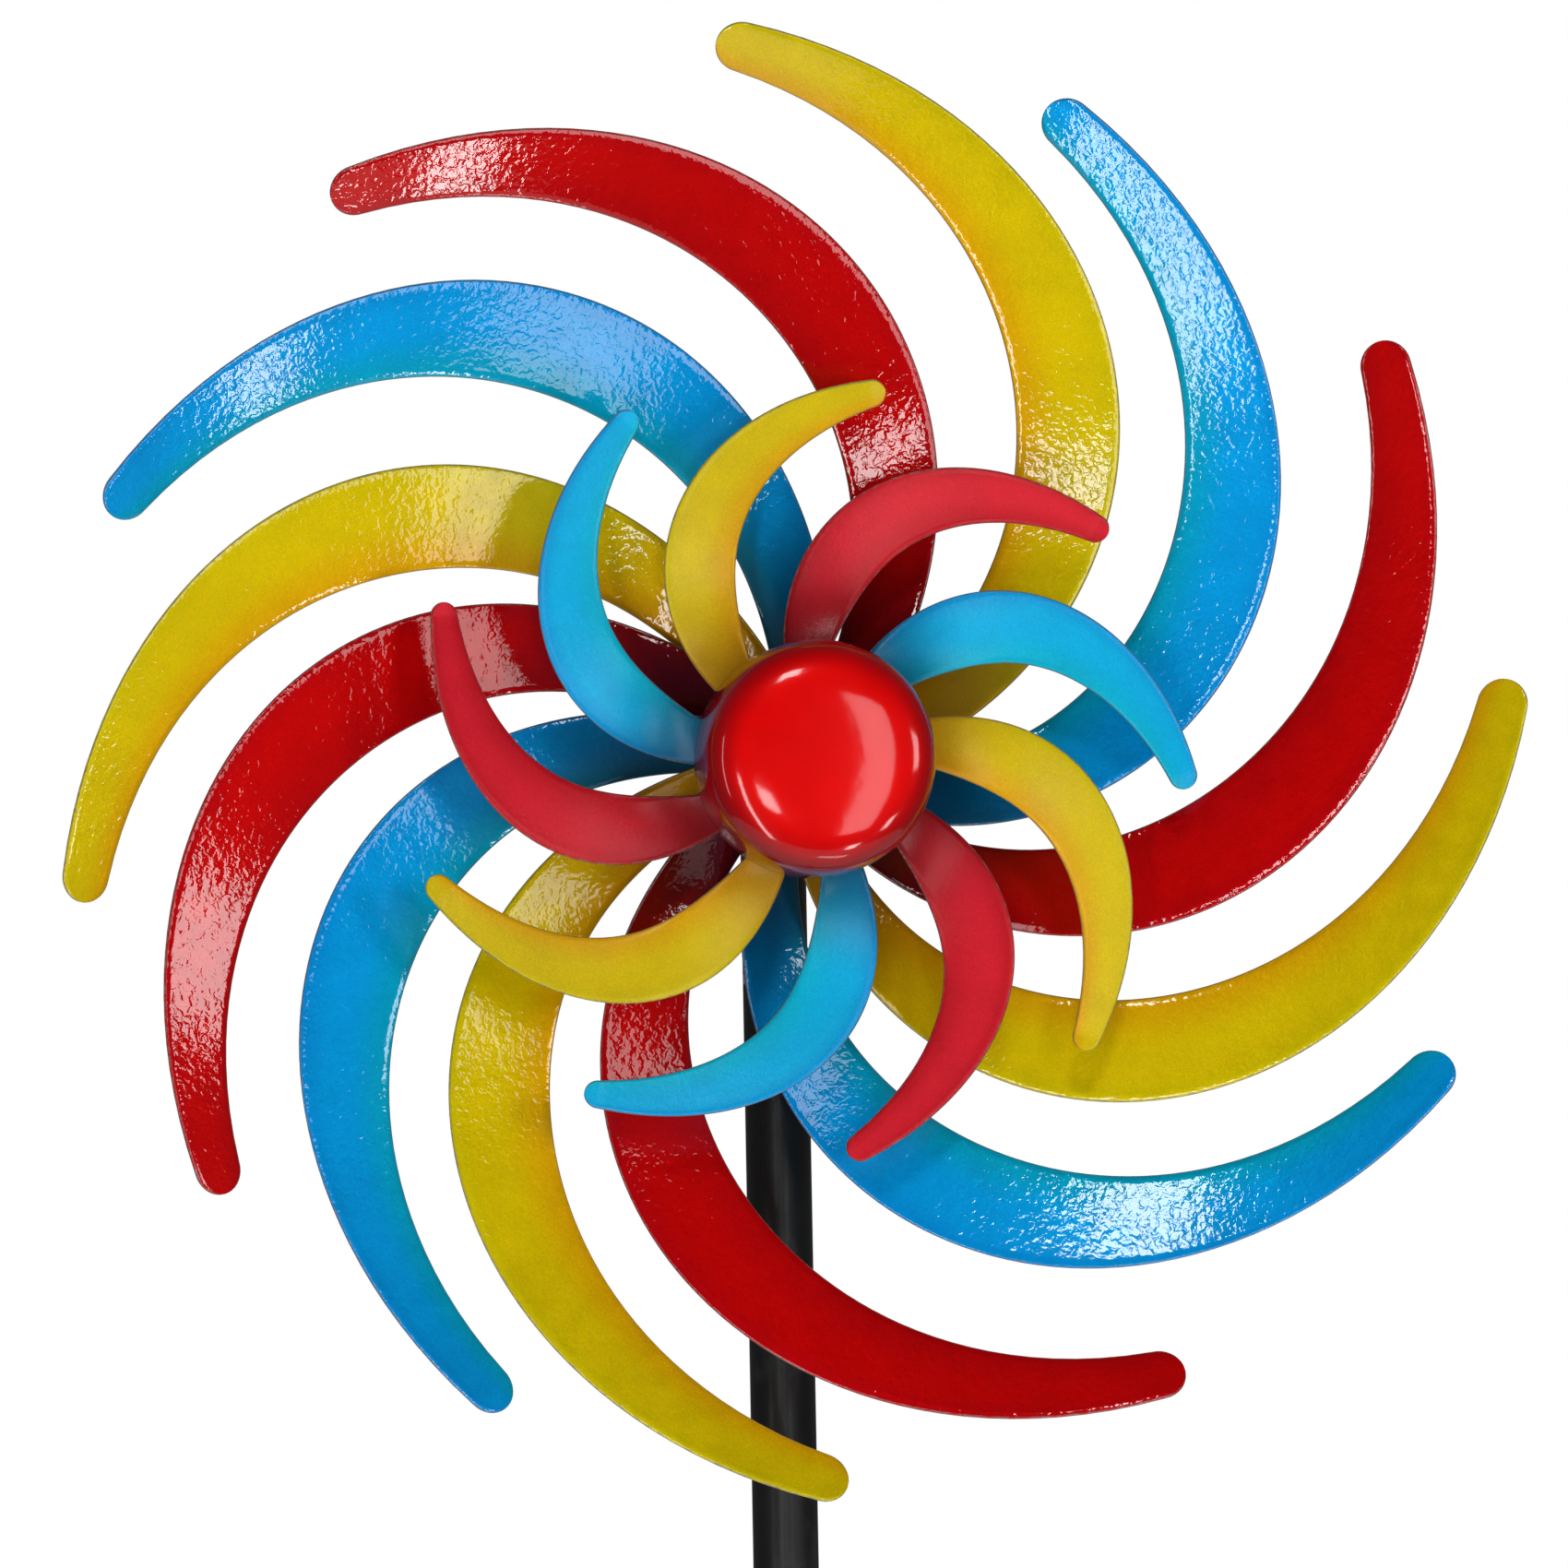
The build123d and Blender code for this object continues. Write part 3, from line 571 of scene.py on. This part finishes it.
class Recipe(Nodes):
    """A Geometry Nodes tree in the making, with named number inputs."""

    def __init__(self, name, keys):
        super().__init__(bpy.data.node_groups.new(name, "GeometryNodeTree"))
        sides = self.tree.interface
        sides.new_socket("Geometry", in_out="OUTPUT", socket_type="NodeSocketGeometry")
        self.identifiers = {}
        for key in keys:
            socket = sides.new_socket(key, in_out="INPUT", socket_type="NodeSocketFloat")
            self.identifiers[key] = socket.identifier
        material = sides.new_socket("Material", in_out="INPUT", socket_type="NodeSocketMaterial")
        self.identifiers["Material"] = material.identifier
        self.given = self.tree.nodes.new("NodeGroupInput").outputs

    def between(self, share, low, high):
        """The number a share of the way from low to high."""
        return self.add("ShaderNodeMix", {0: share, 2: low, 3: high}, clamp_factor=False).outputs[0]

    def law(self, name, count, t):
        """A Bezier curve through the inputs called name, at t, and its slope there."""
        values = [self.given[f"{name} {k}"] for k in range(count)]
        while len(values) > 2:
            values = [self.between(t, low, high) for low, high in zip(values, values[1:])]
        slope = self.times(self.minus(values[1], values[0]), count - 1.0)
        return self.between(t, *values), slope

    def vector(self, x, y, z):
        """A vector from three numbers."""
        return self.add("ShaderNodeCombineXYZ", {0: x, 1: y, 2: z}).outputs[0]

    def scaled(self, vector, factor):
        """A vector times a number."""
        node = self.add("ShaderNodeVectorMath", {0: vector, "Scale": factor}, operation="SCALE")
        return node.outputs["Vector"]

    def combine(self, operation, a, b):
        """One operation on two vectors."""
        node = self.add("ShaderNodeVectorMath", {0: a, 1: b}, operation=operation)
        return node.outputs["Value" if operation == "DOT_PRODUCT" else "Vector"]

    def total(self, first, *others):
        """The sum of vectors."""
        for other in others:
            first = self.combine("ADD", first, other)
        return first

    def grid(self, columns, rows):
        """A flat grid, and each point's column and row, counted from 0."""
        size = {
            "Size X": columns,
            "Size Y": rows,
            "Vertices X": columns + 1,
            "Vertices Y": rows + 1,
        }
        sheet = self.add("GeometryNodeMeshGrid", size).outputs["Mesh"]
        spot = self.add("GeometryNodeInputPosition").outputs[0]
        parts = self.add("ShaderNodeSeparateXYZ", {0: spot}).outputs
        column = self.math("ROUND", self.plus(parts["X"], columns / 2))
        row = self.math("ROUND", self.plus(parts["Y"], rows / 2))
        return sheet, column, row

    def store(self, geometry, name, value):
        """The geometry with a number kept on each of its points."""
        inputs = {"Geometry": geometry, "Name": name, "Value": value}
        return self.add("GeometryNodeStoreNamedAttribute", inputs).outputs[0]

    def place(self, geometry, position):
        """The geometry with its points moved to position."""
        inputs = {"Geometry": geometry, "Position": position}
        return self.add("GeometryNodeSetPosition", inputs).outputs[0]

    def end(self, geometry):
        """Weld the seams, make everything real, and give it the material."""
        merged = self.add("GeometryNodeMergeByDistance", {"Geometry": geometry, "Distance": 1e-6})
        real = self.add("GeometryNodeRealizeInstances", {"Geometry": merged.outputs[0]})
        inputs = {"Geometry": real.outputs[0], "Material": self.given["Material"]}
        done = self.add("GeometryNodeSetMaterial", inputs)
        output = self.tree.nodes.new("NodeGroupOutput")
        self.tree.links.new(done.outputs[0], output.inputs[0])

    def mesh(self, name, values, material):
        """The plain mesh that the tree makes for these inputs."""
        maker = bpy.data.objects.new(name, bpy.data.meshes.new(name))
        bpy.context.scene.collection.objects.link(maker)
        modifier = maker.modifiers.new(name, "NODES")
        modifier.node_group = self.tree
        for key, value in values.items():
            modifier[self.identifiers[key]] = float(value)
        modifier[self.identifiers["Material"]] = material
        graph = bpy.context.evaluated_depsgraph_get()
        mesh = bpy.data.meshes.new_from_object(maker.evaluated_get(graph))
        mesh.name = name
        bpy.data.objects.remove(maker)
        return mesh


LAWS = {"Sweep": 6, "Half": 6, "Pitch": 4, "Bend": 4}
RIBBON_KEYS = ["Turn", "Plane", "Hub Radius", "Hub Height", "Tip Radius", "Curl", "Sheet", "Inner Side"]
RIBBON_KEYS += [f"{name} {k}" for name, count in LAWS.items() for k in range(count)]


class Ribbon(Recipe):
    """A sheet ribbon with round edges and a round tip that follows the laws out from its hub.
    Its inputs are in millimetres and radians."""

    def __init__(self):
        super().__init__("ribbon", RIBBON_KEYS)
        sheet, column, row = self.grid(2 * SIDE_STEPS, 1 + STATIONS + TIP_STATIONS)
        step = self.math("MAXIMUM", self.minus(row, 1.0), 0.0)
        t = self.math("MINIMUM", self.math("DIVIDE", step, STATIONS), 1.0)
        past = self.math("MAXIMUM", self.minus(step, STATIONS), 0.0)
        swing = self.times(past, pi / 2 / TIP_STATIONS)
        axle, centre, along = self.middle_line(t)
        across, thick = self.directions(t, along)

        # The width closes to a point at both ends
        wide, _ = self.law("Half", LAWS["Half"], t)
        half = self.times(wide, self.math("COSINE", swing))
        half = self.times(half, self.math("MINIMUM", row, 1.0))
        beyond = self.times(wide, self.math("SINE", swing))
        a, b, rim = self.section(column, half)
        spot = self.total(centre, self.scaled(across, a), self.scaled(thick, b))
        spot = self.total(spot, self.scaled(along, beyond))
        at_root = self.math("LESS_THAN", step, 0.5)
        spot = self.seated(spot, axle, along, at_root)

        share = self.times(self.math("DIVIDE", a, half), self.given["Inner Side"])
        share = self.minus(0.5, self.times(share, 0.5))
        ribbon = self.store(sheet, "across", share)
        ribbon = self.store(ribbon, "along", t)
        ribbon = self.store(ribbon, "rim", rim)
        self.end(self.place(ribbon, self.scaled(spot, MM)))

    def middle_line(self, t):
        """The axle beside the ribbon, the ribbon's middle, and the way it runs there."""
        given = self.given
        sweep, sweep_slope = self.law("Sweep", LAWS["Sweep"], t)
        reach = self.minus(given["Tip Radius"], given["Hub Radius"])
        radius = self.plus(given["Hub Radius"], self.times(reach, t))
        curl = self.times(given["Curl"], self.minus(self.times(t, t), 1.0))
        curl_slope = self.times(self.times(given["Curl"], t), 2.0)
        angle = self.plus(given["Turn"], self.plus(sweep, curl))
        angle_slope = self.plus(sweep_slope, curl_slope)
        sine = self.math("SINE", angle)
        cosine = self.math("COSINE", angle)
        outward = self.vector(cosine, 0.0, sine)
        round_way = self.vector(self.times(sine, -1.0), 0.0, cosine)
        turning = self.scaled(round_way, self.times(radius, angle_slope))
        run = self.total(self.scaled(outward, reach), turning)
        along = self.add("ShaderNodeVectorMath", {0: run}, operation="NORMALIZE")
        bend, _ = self.law("Bend", LAWS["Bend"], t)
        axle = self.vector(0.0, self.plus(given["Plane"], bend), given["Hub Height"])
        centre = self.total(axle, self.scaled(outward, radius))
        return axle, centre, along.outputs["Vector"]

    def directions(self, t, along):
        """The ways across the sheet and through it."""
        pitch, _ = self.law("Pitch", LAWS["Pitch"], t)
        level = self.combine("CROSS_PRODUCT", (0.0, -1.0, 0.0), along)
        tilted = self.vector(0.0, self.math("SINE", pitch), 0.0)
        across = self.total(self.scaled(level, self.math("COSINE", pitch)), tilted)
        thick = self.combine("CROSS_PRODUCT", across, along)
        return across, thick

    def section(self, column, half):
        """A point's place round the section, as distances across the sheet and through it, and how
        far out on the edge's round it is. The loop is one face, its edge, the other face, its edge."""
        edge = self.math("MINIMUM", self.times(self.given["Sheet"], 0.5), half)
        place = self.math("MODULO", column, 2 * SIDE_STEPS)
        side = self.math("FLOOR", self.math("DIVIDE", place, SIDE_STEPS))
        side = self.minus(1.0, self.times(side, 2.0))
        local = self.math("MODULO", place, SIDE_STEPS)
        flat = self.math("MINIMUM", self.math("DIVIDE", local, FLAT_STEPS), 1.0)
        flat = self.minus(self.times(flat, 2.0), 1.0)
        bow = self.math("MAXIMUM", self.minus(local, FLAT_STEPS), 0.0)
        bow = self.times(bow, pi / EDGE_STEPS)
        rim = self.math("SINE", bow)
        a = self.plus(self.times(self.minus(half, edge), flat), self.times(edge, rim))
        b = self.times(edge, self.math("COSINE", bow))
        return self.times(a, side), self.times(b, side), rim

    def seated(self, spot, axle, along, at_root):
        """The spot; at the root it slides along the ribbon until it meets the hub."""
        from_hub = self.combine("SUBTRACT", spot, axle)
        from_hub = self.combine("MULTIPLY", from_hub, (1.0, 0.0, 1.0))
        seat = self.minus(self.given["Hub Radius"], WELD_DEPTH)
        linear = self.combine("DOT_PRODUCT", from_hub, along)
        square = self.combine("DOT_PRODUCT", from_hub, from_hub)
        square = self.minus(square, self.times(seat, seat))
        root = self.math("SQRT", self.minus(self.times(linear, linear), square))
        slide = self.times(self.minus(root, linear), at_root)
        return self.total(spot, self.scaled(along, slide))


def ribbon_values(rotor, number):
    """The ribbon's inputs for one blade; number counts the rotor's blades from 0."""
    turn = rotor["first_tip"] + 360 / len(rotor["lean"]) * number + rotor["lean"][number]
    values = {
        "Turn": radians(turn),
        "Plane": rotor["plane"] / MM,
        "Hub Radius": HUB_RADIUS / MM,
        "Hub Height": HUB_HEIGHT / MM,
        "Tip Radius": rotor["tip_radius"] + rotor["reach"][number],
        "Curl": radians(rotor["curl"][number]),
        "Sheet": SHEET,
        "Inner Side": rotor["inner_side"],
    }
    for name, count in LAWS.items():
        for k in range(count):
            value = rotor[name.lower()][k]
            values[f"{name} {k}"] = radians(value) if name in ("Sweep", "Pitch") else value
    return values


def make_blades(ribbon, rotor, enamels):
    """A rotor's blades, whose colours repeat in threes."""
    for number in range(len(rotor["lean"])):
        paint = rotor["colours"][number % 3]
        node = f"{rotor['name']}_blade_{number + 1:02d}"
        mesh = ribbon.mesh(f"{node}_sheet", ribbon_values(rotor, number), enamels[paint])
        blade = finished(f"{node}_sheet", mesh, enamels[paint], sharp=60)
        put(blade, f"{rotor['name']}_rotor", node)


RIBBON = Ribbon()
make_blades(RIBBON, REAR_ROTOR, REAR_ENAMEL)
make_blades(RIBBON, FRONT_ROTOR, FRONT_ENAMEL)

# ---- Domed cap ----

CAP_LOW, CAP_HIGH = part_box("hub_cap")
CAP_RADIUS = half_width("hub_cap")
CAP_WALL = 1.2 * MM
CAP_SKIRT = 9.0 * MM
CAP_RISE = [1.0, 1.0, 0.96, 0.7, 0.0]
CAP_SPREAD = [0.0, 0.7, 0.98, 1.0, 1.0]
CAP_SEGMENTS = 160
DOME_STEPS = 40
RIM_STEPS = 6


def law(values, t):
    """A Bezier curve through control values, at t."""
    order = len(values) - 1
    return sum(
        comb(order, k) * value * t**k * (1 - t) ** (order - k) for k, value in enumerate(values)
    )


def dome_line(inset):
    """The cap's dome from its middle to its skirt, pulled in by inset."""
    skirt_end = CAP_HIGH.y - CAP_SKIRT
    depth = skirt_end - CAP_LOW.y - inset
    side = CAP_RADIUS - inset
    return [
        (skirt_end - depth * law(CAP_RISE, k / DOME_STEPS), side * law(CAP_SPREAD, k / DOME_STEPS))
        for k in range(DOME_STEPS + 1)
    ]


def turned_on_axle(name, outline):
    """A mesh turned round the rotors' axle: outline holds the Y and radius of each point of one
    closed half section. Each point keeps its share of the cap's radius as ring."""
    points, faces, rings = [], [], []
    count = len(outline)
    for k in range(CAP_SEGMENTS):
        angle = 2 * pi * k / CAP_SEGMENTS
        for y, radius in outline:
            points.append((radius * cos(angle), y, HUB_HEIGHT - radius * sin(angle)))
            rings.append(radius / CAP_RADIUS)
        for j in range(count):
            a = k * count + j
            b = k * count + (j + 1) % count
            c = (k + 1) % CAP_SEGMENTS * count + (j + 1) % count
            d = (k + 1) % CAP_SEGMENTS * count + j
            if outline[j][1] > 1e-7 or outline[(j + 1) % count][1] > 1e-7:
                faces.append([a, b, c, d])
    mesh = bpy.data.meshes.new(name)
    mesh.from_pydata(points, [], faces)
    mesh.attributes.new("ring", "FLOAT", "POINT").data.foreach_set("value", rings)
    return mesh


def make_cap():
    """A spun cap: dome, skirt, and a rim rolled in on itself."""
    bead = CAP_WALL * 0.5
    rim = [
        (
            CAP_HIGH.y - bead + bead * sin(pi * k / RIM_STEPS),
            CAP_RADIUS - bead + bead * cos(pi * k / RIM_STEPS),
        )
        for k in range(RIM_STEPS + 1)
    ]
    outline = dome_line(0) + rim + dome_line(CAP_WALL)[::-1]
    cap = finished("cap_dome", turned_on_axle("cap_dome", outline), CAP_ENAMEL, sharp=50)
    put(cap, "front_rotor", "hub_cap")


make_cap()

# ---- Every CAD node that keeps its shape gets its finish ----

SLOT_FINISH = {
    "black_enamel": BLACK_ENAMEL,
    "hub_enamel": BLACK_ENAMEL,
    "zinc_steel": ZINC_STEEL,
    "bearing_steel": BEARING_STEEL,
    "black_nylon": BLACK_NYLON,
}
for entry in frame["record"]["subparts"]:
    node = frame["nodes"][entry["node"]]
    if entry["material_slot"] in SLOT_FINISH:
        node.data.materials.clear()
        node.data.materials.append(SLOT_FINISH[entry["material_slot"]])

# ---- Floor ----


def make_floor():
    """A round pale sheet under the fork's points."""
    mesh = bpy.data.meshes.new("floor")
    turns = [2 * pi * k / FLOOR_SIDES for k in range(FLOOR_SIDES)]
    rim = [(FLOOR_RADIUS * cos(turn), FLOOR_RADIUS * sin(turn), FLOOR) for turn in turns]
    mesh.from_pydata(rim, [], [list(range(FLOOR_SIDES))])
    mesh.materials.append(floor_paper())
    floor = bpy.data.objects.new("floor", mesh)
    bpy.context.scene.collection.objects.link(floor)


make_floor()
